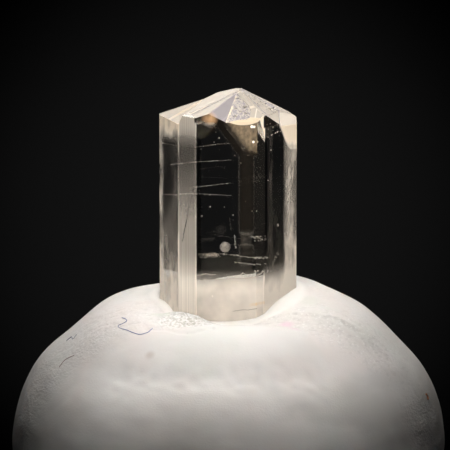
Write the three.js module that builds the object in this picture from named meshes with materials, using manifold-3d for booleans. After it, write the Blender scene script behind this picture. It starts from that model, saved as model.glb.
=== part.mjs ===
// A water-clear phenakite crystal standing upright in a lump of white mounting putty.
// Millimetres, +Z up. The origin is on the putty's flat underside, straight below the crystal's axis.
// Azimuth 0 looks out to the front, along -Y, and azimuth 90 to the right, along +X.
import * as THREE from 'three';
import { ConvexGeometry } from 'three/addons/geometries/ConvexGeometry.js';
import { mergeVertices } from 'three/addons/utils/BufferGeometryUtils.js';
import Module from 'manifold-3d';

// ---- Crystal: the prism ----
// Each upright face has an azimuth and a distance from the crystal's axis.
const PRISM_FACES = [
  { azimuth: -118, distance: 2.45 },
  { azimuth: -88, distance: 2.503 },
  { azimuth: -58, distance: 2.5 },
  { azimuth: -28, distance: 2.482 },
  { azimuth: 2, distance: 2.148 },
  { azimuth: 32, distance: 2.33 },
  { azimuth: 62, distance: 2.061 },
  { azimuth: 92, distance: 2.515 },
  { azimuth: 122, distance: 2.511 },
  { azimuth: 150, distance: 2.463 },
  { azimuth: -178, distance: 2.59 },
  { azimuth: -148, distance: 2.724 },
];

// ---- Crystal: the point ----
// Each sloping face has an azimuth, a slope from level, and the height at which it would cross the axis.
const LEFT_ROOF = { azimuth: -60.9, slope: 18.6, height: 13.87 };
const LEFT_SHOULDER = { azimuth: -27.5, slope: 18.3, height: 13.734 };
const FRONT_LEFT = { azimuth: 40.3, slope: 39, height: 14.284 };
const FRONT_RIGHT = { azimuth: -9.5, slope: 26.4, height: 14.046 };
const RIGHT_ROOF = { azimuth: 73.1, slope: 30.2, height: 14.286 };
const RIGHT_BEVEL_FRONT = { azimuth: 74.1, slope: 62.6, height: 16.699 };
const RIGHT_BEVEL_SIDE = { azimuth: 63.3, slope: 55.1, height: 15.678 };
const NARROW_FACE_BEVEL = { azimuth: 32, slope: 50, height: 15.952 };
const LEFT_STEP = { azimuth: -106.2, slope: 65.3, height: 15.505 };
const LEDGE_TOP = { azimuth: 43, slope: 6.3, height: 13.26 };
const SHOULDER_BACK = { azimuth: -130.1, slope: 31, height: 14.066 };
const BACK_LEFT = { azimuth: -110.8, slope: 31, height: 14.139 };
const BACK_FACES = [
  { azimuth: -167.9, slope: 27, height: 14.103 },
  { azimuth: -165, slope: 70, height: 19.59 },
  { azimuth: 131.6, slope: 31, height: 14.306 },
  { azimuth: 145.2, slope: 33, height: 14.236 },
  { azimuth: 148, slope: 68, height: 17.73 },
];
// These bound the small blocks where they are buried in the large ones.
const SHOULDER_END = { azimuth: 80, distance: -0.888 };
const LEDGE_END = { azimuth: 80, distance: -0.806 };
const LEDGE_REAR = { azimuth: -170, distance: -0.645 };

// ---- Crystal: the broken foot, hidden in the putty ----
// A slope past 90 degrees faces down.
const FOOT_FACES = [
  { azimuth: -35, slope: 166, height: 3.7 },
  { azimuth: 100, slope: 151, height: 3.9 },
  { azimuth: -160, slope: 158, height: 3.75 },
];

// ---- Crystal: relief ----
const CHIP = { radius: 2.117, centre: [0.594, -3.807, 14.166], segments: 72 };
const PATCH_FLOOR = { azimuth: -1.4, slope: 26.1, height: 14.05 };
const PATCH_OUTLINE = [
  [0.32, -0.4], [0.54, -0.77], [0.75, -1.2], [0.82, -1.5], [0.77, -1.95],
  [0.43, -2.06], [0.07, -2.07], [0.05, -1.75], [0.2, -0.85],
];
// Etch pits: which face each one lies on, where, and how wide it is.
const PITS = [
  { face: PATCH_FLOOR, at: [0.34, -0.72], radius: 0.1 },
  { face: PATCH_FLOOR, at: [0.6, -1.22], radius: 0.11 },
  { face: PATCH_FLOOR, at: [0.27, -1.3], radius: 0.08 },
  { face: PATCH_FLOOR, at: [0.44, -1.5], radius: 0.07 },
  { face: PATCH_FLOOR, at: [0.62, -1.62], radius: 0.09 },
  { face: PATCH_FLOOR, at: [0.24, -1.78], radius: 0.09 },
  { face: RIGHT_ROOF, at: [0.78, -0.4], radius: 0.09 },
  { face: RIGHT_ROOF, at: [1.0, -0.3], radius: 0.12 },
  { face: RIGHT_ROOF, at: [1.2, -0.34], radius: 0.11 },
  { face: RIGHT_ROOF, at: [1.12, -0.85], radius: 0.1 },
  { face: RIGHT_ROOF, at: [1.4, -0.2], radius: 0.1 },
  { face: RIGHT_ROOF, at: [1.57, -0.62], radius: 0.16 },
  { face: RIGHT_ROOF, at: [1.74, -0.2], radius: 0.15 },
];
const PIT_FLATNESS = 0.45;
const PIT_DEPTH = 0.3;
const ABOVE_CRYSTAL = 16;

// ---- Putty ----
const PUTTY_RADIUS = 7.9;
const PUTTY_SHIFT = -0.17;
const PUTTY_GAP = 0.3;
// How far out each ring of the lump lies, as a share of its radius, and how high.
const PUTTY_PROFILE = [
  [0.05, 6.45], [0.32, 6.45], [0.48, 6.3], [0.6, 5.95], [0.72, 5.25], [0.85, 4.2],
  [0.93, 3.3], [0.975, 2.4], [0.995, 1.6], [1, 0.9], [0.985, 0],
];
const PUTTY_RINGS = 30;
const PUTTY_SEGMENTS = 96;
// Below this height the lumps and hollows die away, to leave the underside flat.
const LUMPS_FULL_ABOVE = 4.2;
// Slow waves in the lump's outline: how many go round it, how far they reach and where they start.
const OUTLINE_WAVES = [
  { count: 1, reach: 0.012, start: 1.5 },
  { count: 2, reach: 0.012, start: 0.4 },
  { count: 3, reach: 0.01, start: 2.1 },
  { count: 5, reach: 0.006, start: 0.9 },
];
// Pinched lumps and hollows: the middle, how high, and how far it spreads along X and Y.
const PUTTY_LUMPS = [
  { at: [0, -2.6], height: -0.73, spread: [2.4, 1.3] },
  { at: [-1.45, -2.95], height: 0.32, spread: [0.95, 0.45] },
  { at: [-1.7, -1.95], height: -0.33, spread: [0.75, 0.6] },
  { at: [-1.6, -3.9], height: -0.2, spread: [1.1, 0.35] },
  { at: [0.9, 2.9], height: 0.6, spread: [2.6, 1.6] },
  { at: [2.9, 0.9], height: 0.22, spread: [1.2, 1.6] },
  { at: [-3.8, 1.6], height: 0.1, spread: [1.1, 1.8] },
  { at: [4.3, -2.4], height: 0.22, spread: [2.2, 0.6] },
  { at: [2.4, -3.4], height: -0.15, spread: [1.6, 0.5] },
  { at: [-4.6, -3.2], height: 0.18, spread: [1.4, 0.9] },
  { at: [-5.7, 0], height: -0.09, spread: [1, 4] },
  { at: [5, 0], height: 0.1, spread: [1, 4] },
  { at: [7, 0], height: 0.08, spread: [1.1, 4] },
  { at: [-6.9, 0], height: 0.16, spread: [0.8, 4] },
];

const CRYSTAL_LOOK = { color: 0xf2f0ea, roughness: 0.03, metalness: 0, transparent: true, opacity: 0.35 };
const PUTTY_LOOK = { color: 0xe9e4dc, roughness: 0.75, metalness: 0 };

const SAME_POINT = 1e-6;
const ALMOST_PARALLEL = 1e-7;

const wasm = await Module();
wasm.setup();

// A closed three.js geometry as a solid to cut and join.
function solidFrom(geometry) {
  const bare = geometry.clone();
  for (const name of Object.keys(bare.attributes)) {
    if (name !== 'position') bare.deleteAttribute(name);
  }
  const merged = mergeVertices(bare, SAME_POINT);
  return new wasm.Manifold(new wasm.Mesh({
    numProp: 3,
    vertProperties: merged.attributes.position.array,
    triVerts: new Uint32Array(merged.index.array),
  }));
}

function geometryFrom(solid) {
  const mesh = solid.getMesh();
  const geometry = new THREE.BufferGeometry();
  geometry.setAttribute('position', new THREE.BufferAttribute(mesh.vertProperties, 3));
  geometry.setIndex(new THREE.BufferAttribute(mesh.triVerts, 1));
  const flat = geometry.toNonIndexed();
  flat.computeVertexNormals();
  return flat;
}

// The direction that an azimuth points, with Z up.
function outwards(azimuth) {
  const turn = THREE.MathUtils.degToRad(azimuth);
  return new THREE.Vector3(Math.sin(turn), -Math.cos(turn), 0);
}

// The plane of a crystal face, its normal pointing out of the crystal.
function planeOf(face) {
  if (face.slope === undefined) return new THREE.Plane(outwards(face.azimuth), -face.distance);
  const slope = THREE.MathUtils.degToRad(face.slope);
  const normal = outwards(face.azimuth).multiplyScalar(Math.sin(slope)).setZ(Math.cos(slope));
  return new THREE.Plane(normal, -normal.z * face.height);
}

// The height of a sloping face above a point.
function heightOn(face, x, y) {
  const plane = planeOf(face);
  return -(plane.normal.x * x + plane.normal.y * y + plane.constant) / plane.normal.z;
}

// Where three planes meet, or null where they don't meet in one point.
function meetingPoint(a, b, c) {
  const rows = new THREE.Matrix3().set(...a.normal, ...b.normal, ...c.normal);
  if (Math.abs(rows.determinant()) < ALMOST_PARALLEL) return null;
  return new THREE.Vector3(-a.constant, -b.constant, -c.constant).applyMatrix3(rows.invert());
}

// The convex block that lies inside all of these faces.
function blockInside(faces) {
  const planes = faces.map(planeOf);
  const corners = [];
  planes.forEach((a, i) => planes.slice(i + 1).forEach((b, j) => planes.slice(i + j + 2).forEach((c) => {
    const corner = meetingPoint(a, b, c);
    if (corner && planes.every((plane) => plane.distanceToPoint(corner) < SAME_POINT)) corners.push(corner);
  })));
  return solidFrom(new ConvexGeometry(corners));
}

// The four growth blocks share the prism and the foot, and each has its own faces on the point.
function growthBlocks() {
  const body = [...PRISM_FACES, ...FOOT_FACES];
  const roof = [LEFT_ROOF, RIGHT_ROOF, LEFT_STEP, BACK_LEFT];
  const right = [...roof, FRONT_RIGHT, RIGHT_BEVEL_FRONT, NARROW_FACE_BEVEL];
  const left = [...roof, FRONT_LEFT, RIGHT_BEVEL_SIDE];
  const shoulder = [LEFT_SHOULDER, SHOULDER_BACK, SHOULDER_END];
  const ledge = [LEDGE_TOP, LEFT_STEP, LEDGE_END, LEDGE_REAR, BACK_LEFT];
  return [right, left, shoulder, ledge].map((point) => blockInside([...body, ...point, ...BACK_FACES]));
}

// The shell-shaped chip off the front edge of the point.
function chipTool() {
  const ball = new THREE.SphereGeometry(CHIP.radius, CHIP.segments, CHIP.segments / 2);
  return solidFrom(ball.translate(...CHIP.centre));
}

// Takes away everything inside the etched patch's outline and above its floor.
function patchTool() {
  const floor = PATCH_OUTLINE.map(([x, y]) => new THREE.Vector3(x, y, heightOn(PATCH_FLOOR, x, y)));
  const roof = PATCH_OUTLINE.map(([x, y]) => new THREE.Vector3(x, y, ABOVE_CRYSTAL));
  return solidFrom(new ConvexGeometry([...floor, ...roof]));
}

function pitTool({ face, at: [x, y], radius }) {
  const ball = new THREE.IcosahedronGeometry(radius, 1).scale(1, 1, PIT_FLATNESS);
  const lift = radius * (PIT_FLATNESS - PIT_DEPTH);
  return solidFrom(ball.translate(x, y, heightOn(face, x, y) + lift));
}

function crystalGeometry() {
  const grown = growthBlocks().reduce((whole, block) => whole.add(block));
  const tools = [chipTool(), patchTool(), ...PITS.map(pitTool)];
  return geometryFrom(tools.reduce((solid, tool) => solid.subtract(tool), grown));
}

// The space that the crystal's foot takes in the putty.
function socketTool() {
  const sides = PRISM_FACES.map((face) => ({ ...face, distance: face.distance + PUTTY_GAP }));
  const foot = FOOT_FACES.map((face) => ({ ...face, height: face.height - PUTTY_GAP }));
  return blockInside([...sides, ...foot, { azimuth: 0, slope: 0, height: ABOVE_CRYSTAL }]);
}

function outlineRadius(angle) {
  const wave = ({ count, reach, start }) => reach * Math.sin(count * angle + start);
  return PUTTY_RADIUS * OUTLINE_WAVES.reduce((radius, w) => radius + wave(w), 1);
}

function lumpHeight(x, y) {
  return PUTTY_LUMPS.reduce((sum, { at, height, spread }) => {
    const across = (x - at[0]) / spread[0];
    const deep = (y - at[1]) / spread[1];
    return sum + height * Math.exp(-across * across - deep * deep);
  }, 0);
}

// The lump: rings from the middle of its top, over the shoulder, down to the rim of its flat underside.
function puttyGeometry() {
  const profile = new THREE.SplineCurve(PUTTY_PROFILE.map(([out, up]) => new THREE.Vector2(out, up)));
  const points = [0, 0, profile.getPoint(0).y + lumpHeight(0, 0)];
  for (let ring = 0; ring <= PUTTY_RINGS; ring++) {
    const at = profile.getPoint(ring / PUTTY_RINGS);
    for (let step = 0; step < PUTTY_SEGMENTS; step++) {
      const angle = (2 * Math.PI * step) / PUTTY_SEGMENTS;
      const radius = at.x * outlineRadius(angle);
      const x = radius * Math.cos(angle) + PUTTY_SHIFT;
      const y = radius * Math.sin(angle);
      const settled = Math.min(1, at.y / LUMPS_FULL_ABOVE);
      points.push(x, y, at.y + settled * lumpHeight(x, y));
    }
  }
  points.push(0, 0, 0);
  const first = (ring, step) => 1 + ring * PUTTY_SEGMENTS + (step % PUTTY_SEGMENTS);
  const middle = points.length / 3 - 1;
  const faces = [];
  for (let step = 0; step < PUTTY_SEGMENTS; step++) {
    faces.push(0, first(0, step), first(0, step + 1));
    for (let ring = 0; ring < PUTTY_RINGS; ring++) {
      faces.push(first(ring, step), first(ring + 1, step), first(ring + 1, step + 1));
      faces.push(first(ring, step), first(ring + 1, step + 1), first(ring, step + 1));
    }
    faces.push(middle, first(PUTTY_RINGS, step + 1), first(PUTTY_RINGS, step));
  }
  const lump = new THREE.BufferGeometry();
  lump.setAttribute('position', new THREE.Float32BufferAttribute(points, 3));
  lump.setIndex(faces);
  return geometryFrom(solidFrom(lump).subtract(socketTool()));
}

function subPart(name, geometry, look) {
  const mesh = new THREE.Mesh(geometry, new THREE.MeshStandardMaterial(look));
  mesh.name = name;
  return mesh;
}

const specimen = new THREE.Group();
specimen.add(subPart('crystal', crystalGeometry(), CRYSTAL_LOOK));
specimen.add(subPart('mounting_putty', puttyGeometry(), PUTTY_LOOK));

export default specimen;
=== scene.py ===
"""A clear phenakite crystal in a lump of white mounting putty, with its inclusions, lint, floor and light."""
import math

import bpy
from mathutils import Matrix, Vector, noise
from mathutils.bvhtree import BVHTree


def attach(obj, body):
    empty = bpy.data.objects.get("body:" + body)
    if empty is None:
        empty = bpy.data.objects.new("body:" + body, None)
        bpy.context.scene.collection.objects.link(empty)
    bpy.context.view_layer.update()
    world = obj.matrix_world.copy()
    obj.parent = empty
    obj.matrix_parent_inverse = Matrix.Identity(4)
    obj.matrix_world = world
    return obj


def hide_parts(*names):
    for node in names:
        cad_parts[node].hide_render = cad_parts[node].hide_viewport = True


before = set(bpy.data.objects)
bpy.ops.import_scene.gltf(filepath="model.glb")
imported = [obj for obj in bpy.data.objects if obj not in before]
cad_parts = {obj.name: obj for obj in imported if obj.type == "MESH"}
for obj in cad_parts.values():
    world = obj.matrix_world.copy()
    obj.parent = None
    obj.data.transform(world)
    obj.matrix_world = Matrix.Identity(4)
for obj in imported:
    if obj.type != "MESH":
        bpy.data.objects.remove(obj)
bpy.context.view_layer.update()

MM = 0.001
# How steeply the camera looks down.
TILT = math.radians(8)

# ---- Sizes in millimetres, the same as the solids' ----
# The crystal's upright faces: azimuth, and distance from its axis. Azimuth 0 looks out to the front.
PRISM_FACES = [
    (-118, 2.45), (-88, 2.503), (-58, 2.5), (-28, 2.482), (2, 2.148), (32, 2.33),
    (62, 2.061), (92, 2.515), (122, 2.511), (150, 2.463), (-178, 2.59), (-148, 2.724),
]
LEFT_SIDE, LEFT_FRONT, FRONT, NARROW, RIGHT_SIDE = PRISM_FACES[2:7]
# Its sloping faces: azimuth, slope from level, and the height at which each would cross the axis.
LEFT_ROOF = (-60.9, 18.6, 13.87)
LEFT_SHOULDER = (-27.5, 18.3, 13.734)
FRONT_LEFT = (40.3, 39, 14.284)
FRONT_RIGHT = (-9.5, 26.4, 14.046)
RIGHT_ROOF = (73.1, 30.2, 14.286)
RIGHT_BEVEL_FRONT = (74.1, 62.6, 16.699)
RIGHT_BEVEL_SIDE = (63.3, 55.1, 15.678)
NARROW_FACE_BEVEL = (32, 50, 15.952)
# The floor of the sunk patch in the point, given in the same way.
PATCH_FLOOR = (-1.4, 26.1, 14.05)
# How far down into the etch pits the film reaches.
PIT_REACH = 0.035
# The hollow chip at the point's front edge is part of a ball.
CHIP_CENTRE = (0.594, -3.807, 14.166)
CHIP_RADIUS = 2.117
# The faces of its broken foot slope down: azimuth, slope, and height at the axis.
FOOT_FACES = [(-35, 166, 3.7), (100, 151, 3.9), (-160, 158, 3.75)]
LUMP_RADIUS = 7.9
# How far to the right of the crystal's axis the lump's middle is.
LUMP_SHIFT = -0.17
# The lump's profile: distance from the middle as a share of the radius, and height.
LUMP_PROFILE = [
    (0.05, 6.45), (0.32, 6.45), (0.48, 6.3), (0.6, 5.95), (0.72, 5.25), (0.85, 4.2),
    (0.93, 3.3), (0.975, 2.4), (0.995, 1.6), (1, 0.9), (0.985, 0),
]
# Waves round its outline: how many, how deep as a share of the radius, and where they start.
OUTLINE_WAVES = [(1, 0.012, 1.5), (2, 0.012, 0.4), (3, 0.01, 2.1), (5, 0.006, 0.9)]
# Swellings and hollows on top: their middle, their height and their spread.
LUMPS = [
    ((0, -2.6), -0.73, (2.4, 1.3)), ((-1.45, -2.95), 0.32, (0.95, 0.45)),
    ((-1.7, -1.95), -0.33, (0.75, 0.6)), ((-1.6, -3.9), -0.2, (1.1, 0.35)),
    ((0.9, 2.9), 0.6, (2.6, 1.6)), ((2.9, 0.9), 0.22, (1.2, 1.6)),
    ((-3.8, 1.6), 0.1, (1.1, 1.8)), ((4.3, -2.4), 0.22, (2.2, 0.6)),
    ((2.4, -3.4), -0.15, (1.6, 0.5)), ((-4.6, -3.2), 0.18, (1.4, 0.9)),
    ((-5.7, 0), -0.09, (1, 4)), ((5, 0), 0.1, (1, 4)), ((7, 0), 0.08, (1.1, 4)), ((-6.9, 0), 0.16, (0.8, 4)),
]
# They are full above this height, and go down to nothing at the floor.
LUMPS_FULL_ABOVE = 4.2
# The putty's socket is this much smaller than the crystal, so that no dark gap shows.
GRIP = 0.008
# Farther than anything reaches.
FAR = 99.0


# ---- Node kit ----
class Wire:
    """A node's output, which can be used in a sum."""

    def __init__(self, board, node, output=0):
        self.board, self.node = board, node
        self.socket = node.outputs[output] if node.outputs else None

    def __getitem__(self, output):
        return Wire(self.board, self.node, output)

    def _sum(self, operation, *terms):
        return self.board.node("ShaderNodeMath", {"operation": operation}, dict(enumerate(terms)))

    def __add__(self, other):
        return self._sum("ADD", self, other)

    def __radd__(self, other):
        return self._sum("ADD", other, self)

    def __sub__(self, other):
        return self._sum("SUBTRACT", self, other)

    def __rsub__(self, other):
        return self._sum("SUBTRACT", other, self)

    def __mul__(self, other):
        return self._sum("MULTIPLY", self, other)

    def __rmul__(self, other):
        return self._sum("MULTIPLY", other, self)


class Board:
    """A node tree and the one way that its nodes are made."""

    def __init__(self, tree):
        self.tree = tree
        self.tree.nodes.clear()

    def node(self, kind, settings=None, sockets=None):
        made = self.tree.nodes.new(kind)
        for name, value in (settings or {}).items():
            if name == "stops":
                self._set_stops(made.color_ramp, value)
            else:
                setattr(made, name, value)
        for name, value in (sockets or {}).items():
            if isinstance(value, Wire):
                self.tree.links.new(value.socket, made.inputs[name])
            else:
                made.inputs[name].default_value = value
        return Wire(self, made)

    def _set_stops(self, ramp, stops):
        while len(ramp.elements) < len(stops):
            ramp.elements.new(1)
        for element, (place, colour) in zip(ramp.elements, stops):
            element.position, element.color = place, colour

    def vector(self, operation, *terms):
        return self.node("ShaderNodeVectorMath", {"operation": operation}, dict(enumerate(terms)))

    def dot(self, first, second):
        return self.vector("DOT_PRODUCT", first, second)["Value"]

    def scaled(self, vector, factor):
        return self.node("ShaderNodeVectorMath", {"operation": "SCALE"}, {0: vector, "Scale": factor})

    def axis(self, vector, name):
        return self.node("ShaderNodeSeparateXYZ", {}, {0: vector})[name]

    def between(self, value, low, high):
        """Rises smoothly from 0 where value is low to 1 where it is high."""
        return self.node("ShaderNodeMapRange", {"interpolation_type": "SMOOTHSTEP"}, {
            "Value": value, "From Min": low, "From Max": high,
        })["Result"]


class Finish(Board):
    """A material, with the patterns that its finishes share."""

    def __init__(self, name):
        self.material = bpy.data.materials.new(name)
        self.material.use_nodes = True
        super().__init__(self.material.node_tree)
        self.place = self.node("ShaderNodeTexCoord")["Object"]

    def noise(self, scale, detail=3):
        """Even noise where scale is one number, and stretched noise where it has three."""
        place = self.place
        if isinstance(scale, tuple):
            place, scale = self.vector("MULTIPLY", place, scale), 1
        return self.node("ShaderNodeTexNoise", {}, {"Vector": place, "Scale": scale, "Detail": detail})["Fac"]

    def ramp(self, factor, stops):
        return self.node("ShaderNodeValToRGB", {"stops": stops}, {"Fac": factor})["Color"]

    def layered(self, colour, *layers):
        """The colour with each layer's tone laid over it, by the layer's amount."""
        for amount, tone in layers:
            colour = self.node("ShaderNodeMix", {"data_type": "RGBA"}, {0: amount, 6: colour, 7: tone})[2]
        return colour

    def near(self, place, core, edge):
        """One inside core millimetres of a point, fading to nothing at edge."""
        gap = self.vector("DISTANCE", self.place, tuple(c * MM for c in place))["Value"]
        return 1 - self.between(gap, core * MM, edge * MM)

    def bump(self, height, strength, distance):
        return self.node("ShaderNodeBump", {}, {
            "Height": height, "Strength": strength, "Distance": distance * MM,
        })["Normal"]

    def mixed(self, amount, first, second):
        return self.node("ShaderNodeMixShader", {}, {0: amount, 1: first, 2: second})

    def surface(self, shader, volume=None):
        sockets = {"Surface": shader}
        if volume:
            sockets["Volume"] = volume
        self.node("ShaderNodeOutputMaterial", {}, sockets)
        return self.material


# ---- Objects ----
def linked(name, data):
    made = bpy.data.objects.new(name, data)
    bpy.context.scene.collection.objects.link(made)
    return made


def plain_mesh(name, points, edges, faces):
    """A mesh from points in millimetres."""
    mesh = bpy.data.meshes.new(name)
    mesh.from_pydata([tuple(size * MM for size in point) for point in points], edges, faces)
    return mesh


def riding(made):
    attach(made, "root")
    return made


def piece(name, points, faces, material, smooth=True):
    mesh = plain_mesh(name, points, [], faces)
    mesh.materials.append(material)
    mesh.polygons.foreach_set("use_smooth", [smooth] * len(mesh.polygons))
    mesh.update()
    return linked(name, mesh)


class Shape(Board):
    """A geometry node tree with named inputs, whose result is made a plain mesh.

    Each has a Path to grow on and a Finish, besides the inputs that are given by name and kind.
    """

    def __init__(self, name, inputs):
        super().__init__(bpy.data.node_groups.new(name, "GeometryNodeTree"))
        self.tree.interface.new_socket("Geometry", in_out="OUTPUT", socket_type="NodeSocketGeometry")
        self.names = {}
        for label, kind in {"Path": "Geometry", **inputs, "Finish": "Material"}.items():
            socket = self.tree.interface.new_socket(label, in_out="INPUT", socket_type="NodeSocket" + kind)
            self.names[label] = socket.identifier
        self.start = self.node("NodeGroupInput")

    def end(self, geometry):
        """Closes the tree with the last geometry."""
        solid = self.node("GeometryNodeRealizeInstances", {}, {"Geometry": geometry})
        finished = self.node("GeometryNodeSetMaterial", {}, {
            "Geometry": solid, "Material": self.start["Finish"],
        })
        self.node("NodeGroupOutput", {}, {"Geometry": finished})
        return self

    def grow(self, name, points, edges, values, slot):
        """A finished piece grown on a path of points in millimetres, riding on the part."""
        made = linked(name, plain_mesh(name + "_path", points, edges, []))
        modifier = made.modifiers.new("grow", "NODES")
        modifier.node_group = self.tree
        for label, value in values.items():
            modifier[self.names[label]] = value
        graph = bpy.context.evaluated_depsgraph_get()
        grown = bpy.data.meshes.new_from_object(made.evaluated_get(graph))
        made.modifiers.remove(modifier)
        made.data = grown
        return riding(made)


# ---- The crystal's finish ----
def outwards(azimuth, slope=90):
    """The direction in which a face looks."""
    turn, lean = math.radians(azimuth), math.radians(slope)
    return (math.sin(turn) * math.sin(lean), -math.cos(turn) * math.sin(lean), math.cos(lean))


class CrystalFinish(Finish):
    """The crystal's material, with masks for the solid's faces and for the films on them."""

    def __init__(self):
        super().__init__("clear_crystal")
        self.x, self.z = self.axis(self.place, "X"), self.axis(self.place, "Z")
        self.lines = self.noise((26000, 26000, 90), 5)
        self.mottle = self.noise((2200, 2200, 900), 4)
        self.etch = self.noise((9500, 6500, 6500), 4)
        self.cloud = self.noise(700)
        self.speckle = 0.5 + self.between(self.mottle, 0.4, 0.7)
        self.wavy = (self.mottle - 0.5) * 0.15 * MM
        self.find_sides()
        self.find_point()
        self.find_painted_highlights()
        self.find_shade()
        self.find_sparks()

    def upright(self, azimuth, distance):
        """One on an upright face."""
        out = self.dot(self.place, outwards(azimuth))
        return self.past(out, distance - 0.025, distance - 0.01)

    def sloping(self, face, depth=0.015):
        """One on a sloping face of the point, and in its pits down to depth."""
        azimuth, slope, height = face
        out = self.dot(self.place, outwards(azimuth, slope))
        distance = height * math.cos(math.radians(slope))
        inside = self.past(out, distance - depth - 0.01, distance - depth)
        return inside * (1 - self.past(out, distance + 0.006, distance + 0.012)) * self.off_sides

    def past(self, across, none, full):
        """Rises from 0 to 1 between two places, in millimetres."""
        return self.between(across, none * MM, full * MM)

    def above(self, none, full):
        return self.past(self.z, none, full)

    def below(self, full, none):
        return 1 - self.past(self.z, full, none)

    def streak(self, across, middle, half):
        """One within half of a line where across has its middle value."""
        near_side = self.past(across, middle - half, middle - half / 2)
        return near_side * (1 - self.past(across, middle + half / 2, middle + half))

    def find_sides(self):
        """The upright faces that look to the front, painted light along their edges, and a painted highlight
        on the left rim.
        """
        self.left_side, self.left_front = self.upright(*LEFT_SIDE), self.upright(*LEFT_FRONT)
        self.front, self.narrow = self.upright(*FRONT), self.upright(*NARROW)
        self.right_side = self.upright(*RIGHT_SIDE)
        sides = self.left_side + self.left_front + self.front + self.narrow + self.right_side
        self.off_sides = 1 - self.between(sides, 0, 0.5)
        self.right_strip = self.right_side * self.past(self.x, 1.98, 2.12)
        # A painted highlight: a milky strip along the left rim.
        self.painted_left_rim_highlight = self.left_side * (1 - self.past(self.x, -2.42, -2.3))
        # Painted light lines along the edges between the faces.
        low_edges = (self.front * self.narrow + self.narrow * self.right_side) * 0.4 * self.below(7, 8.2)
        self.edges = self.left_side * self.left_front + self.left_front * self.front * 0.3 + low_edges

    def find_point(self):
        """The sloping faces, the chip, a painted highlight along the seam across them, and where they are
        grey from etching and painted reflection.
        """
        self.left_roof = self.sloping(LEFT_ROOF) + self.sloping(LEFT_SHOULDER)
        self.steep, self.patch = self.sloping(FRONT_LEFT), self.sloping(PATCH_FLOOR, PIT_REACH)
        self.right_roof = self.sloping(RIGHT_ROOF, PIT_REACH)
        self.chip = self.near(CHIP_CENTRE, CHIP_RADIUS + 0.008, CHIP_RADIUS + 0.018)
        # The seam is a painted highlight along the line between the steep face and the sunk patch.
        seam = self.streak(self.x - 0.45 * self.z, -5.91, 0.05) * self.between(self.mottle, 0.35, 0.65)
        self.seam = (self.steep + self.patch) * seam * 0.7
        self.even = (1 - self.chip) * (1 - self.seam)
        ridges = self.between(self.etch, 0.4, 0.5) * (1 - self.between(self.etch, 0.5, 0.6))
        specks = self.between(self.noise((9000, 9000, 9000)), 0.56, 0.66)
        # Grey: etching between the patch's ridges and in the right roof's specks, and painted grey reflection
        # on the steep face.
        self.etched_grey_and_painted_reflection = (self.steep + self.patch * (1 - ridges)) * self.even
        self.etched_grey_and_painted_reflection = self.etched_grey_and_painted_reflection + self.right_roof * (specks * 0.6 + self.near((1.53, -0.09, 13.42), 0.15, 0.28))

    def find_painted_highlights(self):
        """Painted highlights: a three-cornered patch high on the right side, and a strip high on the narrow
        face beside it.
        """
        self.painted_bright_wedge = self.right_side * self.past(self.x + 0.381 * self.z, 6.68, 6.78) * self.above(11.7, 12.3)
        self.strip = self.narrow * self.past(self.x + 0.27 * self.z, 4.63, 4.7) * self.above(11.9, 12.2)

    def find_shade(self):
        """Painted shade: dark films at the top of the front and of the right side, and an upright band on the
        front.
        """
        slant = self.x + 0.72 * self.z
        # The band is a painted dark streak down the front.
        band = self.front * self.streak(self.x, 0.66, 0.3)
        # A painted dark reflection high on the front, with a slanting edge.
        self.painted_dark_reflection = self.front * self.past(slant, 9.2, 9.55) * self.above(11.7, 12.4)
        self.shade = (
            self.front * self.above(12.95, 13.15)
            + self.right_side * (1 - self.painted_bright_wedge) * self.above(12.75, 12.9)
            + self.front * self.past(slant, 8.85, 8.95) * self.above(11.75, 12)
            + band * self.above(8.9, 9.3) * (1 - self.above(11.75, 11.95))
            + band * self.above(7.8, 8) * (1 - self.above(8.5, 8.65)) * 0.5
        )
        # A painted amber glow near the top of the front.
        self.painted_amber_glow = self.near((-0.66, -2.13, 13.15), 0.02, 0.36) * self.speckle

    def find_sparks(self):
        """Bright points high on the front, and bright specks on the front and the right side."""
        dots = self.noise(15000, 0)
        self.sparks = (
            self.near((0.85, -2.118, 12.86), 0.03, 0.07)
            + self.near((0.93, -2.117, 12.85), 0.02, 0.06)
            + self.near((0.905, -2.117, 12.31), 0.02, 0.06)
            + self.right_side * (1 - self.painted_bright_wedge) * self.above(12.2, 12.6) * self.between(dots, 0.74, 0.79)
            + self.front * self.between(dots, 0.84, 0.88) * 0.7
        )

    def left_film(self):
        """On the two faces at the left, with growth lines and a scratch on the one nearer the front."""
        scratch = self.streak(self.x - 0.198 * self.z + self.wavy, -3.345, 0.022)
        scratch = scratch * self.above(8.6, 8.8) * self.below(10.7, 10.9)
        growth_lines = (0.9 + 0.3 * self.between(self.lines, 0.3, 0.7)) * (1 - 0.7 * scratch)
        # Painted light: the films thicken towards the foot, where the putty's light comes up, and near the
        # top.
        side_level = 0.02 + 0.17 * self.below(8.5, 11) + 0.4 * self.below(7, 8.8)
        side_level = side_level + 1.4 * self.above(12.2, 12.9)
        front_level = 0.07 + 0.27 * self.below(8.8, 11.8) + 0.48 * self.below(6.8, 8.5)
        front_level = front_level + 0.38 * self.above(12, 13)
        return (
            self.left_side * self.speckle * side_level + self.left_side * 0.5 * self.below(5.8, 7.4)
            + self.painted_left_rim_highlight * self.speckle * 0.45
            + self.left_front * growth_lines * front_level
        )

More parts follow.
